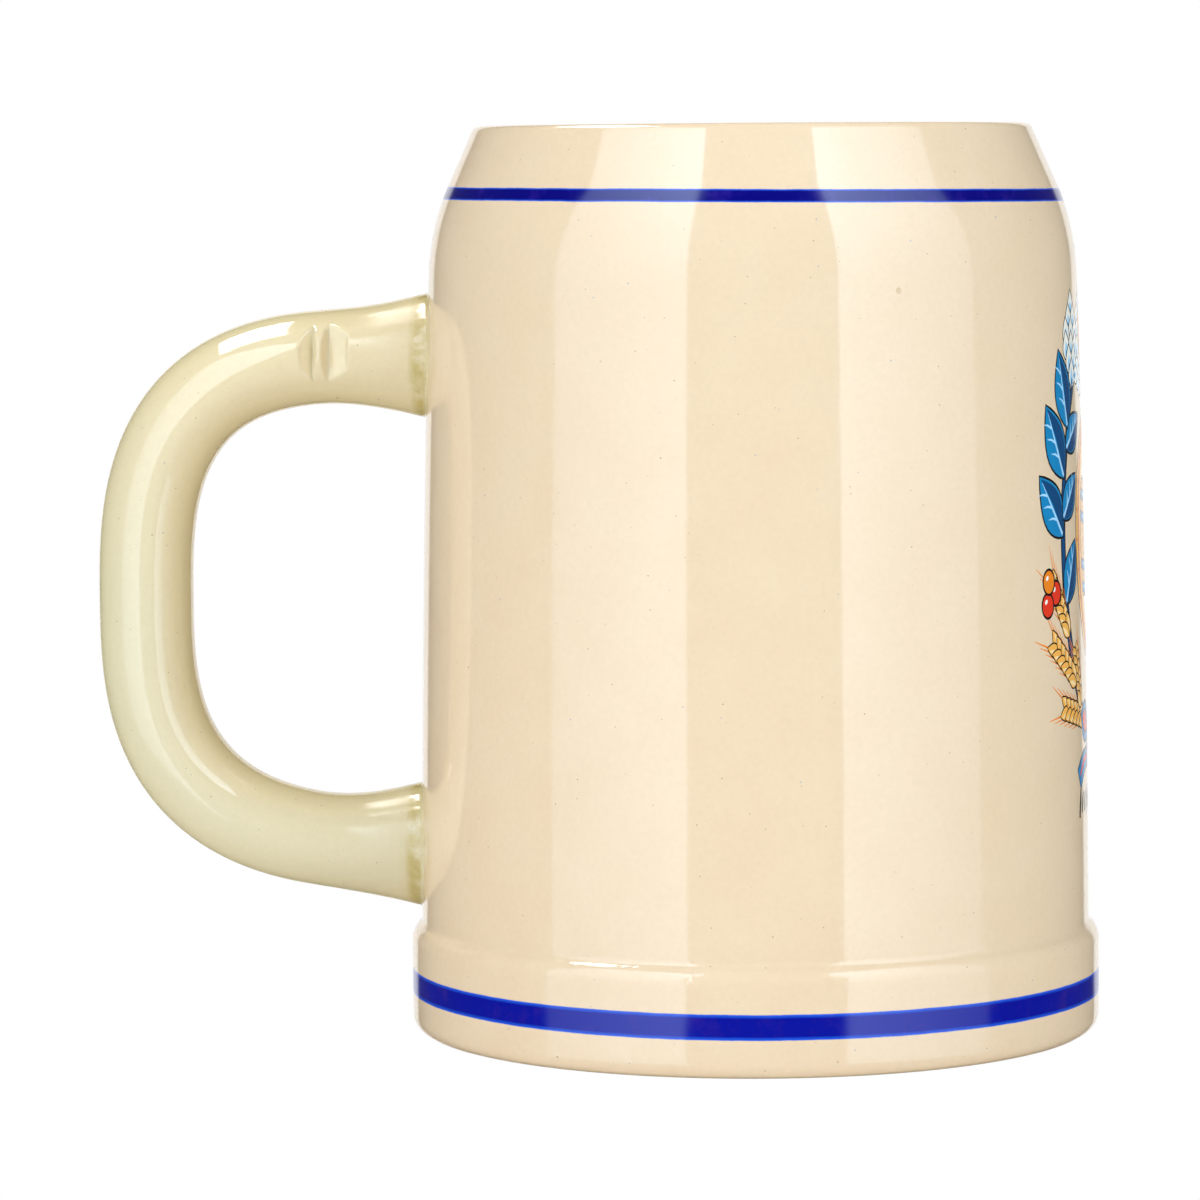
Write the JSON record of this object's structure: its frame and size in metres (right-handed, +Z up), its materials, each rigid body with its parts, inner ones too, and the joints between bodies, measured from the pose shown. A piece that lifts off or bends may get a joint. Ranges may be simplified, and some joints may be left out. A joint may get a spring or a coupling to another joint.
{
  "type": "beer mug",
  "caption": "Half-litre stoneware beer mug: turned body with a foot band and drawn-in mouth, and an oval bow handle fired on.",
  "frame": {"origin": "on the body's axis, at the level of the foot ring that the mug stands on", "axes": "+Z up along the body's axis, -X towards the handle, +X towards the picture on the front"},
  "size_m": [0.145, 0.0992, 0.13],
  "materials": {
    "glazed_stoneware": "gloss"
  },
  "bodies": {
    "root": {"mug": "glazed_stoneware"}
  },
  "joints": []
}
